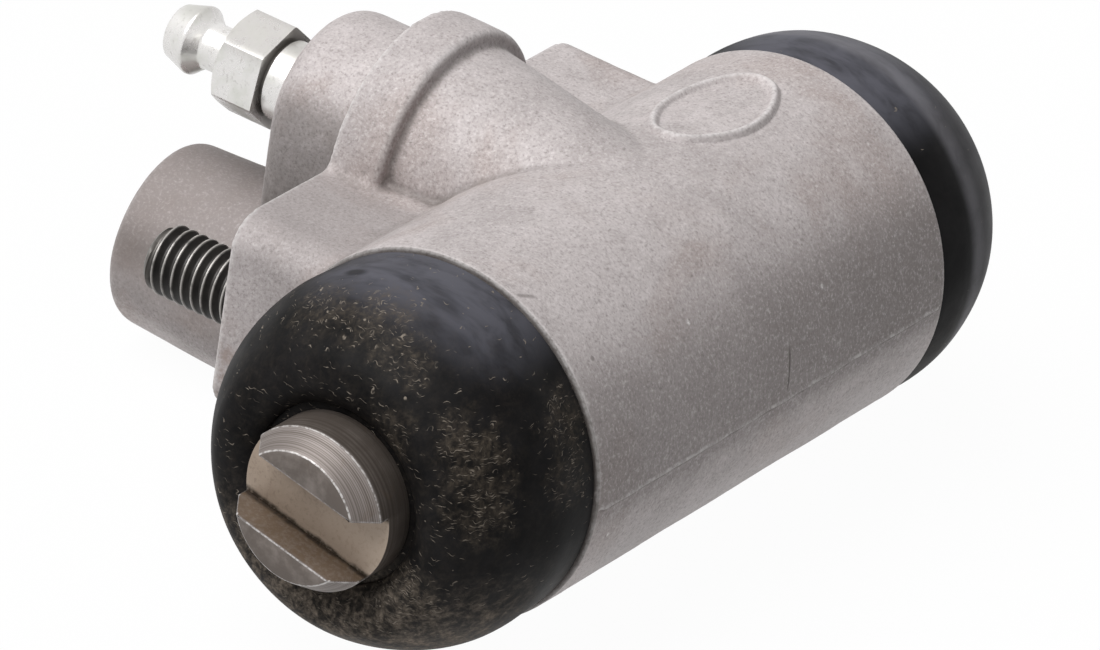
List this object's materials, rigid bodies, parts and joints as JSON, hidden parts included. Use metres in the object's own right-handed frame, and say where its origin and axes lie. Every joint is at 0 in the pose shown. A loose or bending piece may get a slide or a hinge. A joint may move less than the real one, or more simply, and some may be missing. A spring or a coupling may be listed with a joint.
{
  "type": "drum brake wheel cylinder",
  "caption": "Cast wheel cylinder with opposed slotted pistons in rubber boots, a bleed screw, an inlet spigot and mounting studs, which spreads the shoes of a drum brake.",
  "frame": {"origin": "on the mounting face, midway between the two studs, level with the bore axis", "axes": "+X along the bore, +Y out of the mounting face into the back plate, +Z towards the bleed screw"},
  "size_m": [0.0864, 0.0614, 0.0381],
  "materials": {
    "housing": "matt as-cast, fine blasted grain",
    "piston": "turned, lightly oiled",
    "cup": "moulded",
    "spring_steel": "drawn",
    "boot": "moulded, dusty",
    "zinc": "bright zinc plate",
    "stud": "black oxide"
  },
  "bodies": {
    "housing": {"cylinder_housing": "housing", "left_stud": "stud", "right_stud": "stud", "left_dust_boot": "boot", "right_dust_boot": "boot", "return_spring": "spring_steel"},
    "left_follower": {"left_cup_seal": "cup", "left_cup_expander": "spring_steel"},
    "left_piston": {"left_piston": "piston"},
    "right_follower": {"right_cup_seal": "cup", "right_cup_expander": "spring_steel"},
    "right_piston": {"right_piston": "piston"},
    "bleed_screw": {"bleed_screw": "zinc"}
  },
  "joints": [
    {"name": "left_stroke", "type": "slide", "parent": "housing", "child": "left_follower", "axis": [-1, 0, 0], "range_m": [-0.003, 0.006], "stiffness_N_per_m": 1500, "deforming": ["left_dust_boot", "return_spring"]},
    {"name": "left_turn", "type": "hinge", "parent": "left_follower", "child": "left_piston", "pos_m": [-0.03, -0.0223, 0], "axis": [-1, 0, 0], "continuous": true},
    {"name": "right_stroke", "type": "slide", "parent": "housing", "child": "right_follower", "axis": [1, 0, 0], "range_m": [-0.003, 0.006], "stiffness_N_per_m": 1500, "deforming": ["right_dust_boot", "return_spring"]},
    {"name": "right_turn", "type": "hinge", "parent": "right_follower", "child": "right_piston", "pos_m": [0.03, -0.0223, 0], "axis": [1, 0, 0], "continuous": true},
    {"name": "bleed_turn", "type": "hinge", "parent": "housing", "child": "bleed_screw", "pos_m": [0, 0.012, 0.0087], "axis": [0, 1, 0], "range_deg": [0, 360]}
  ]
}
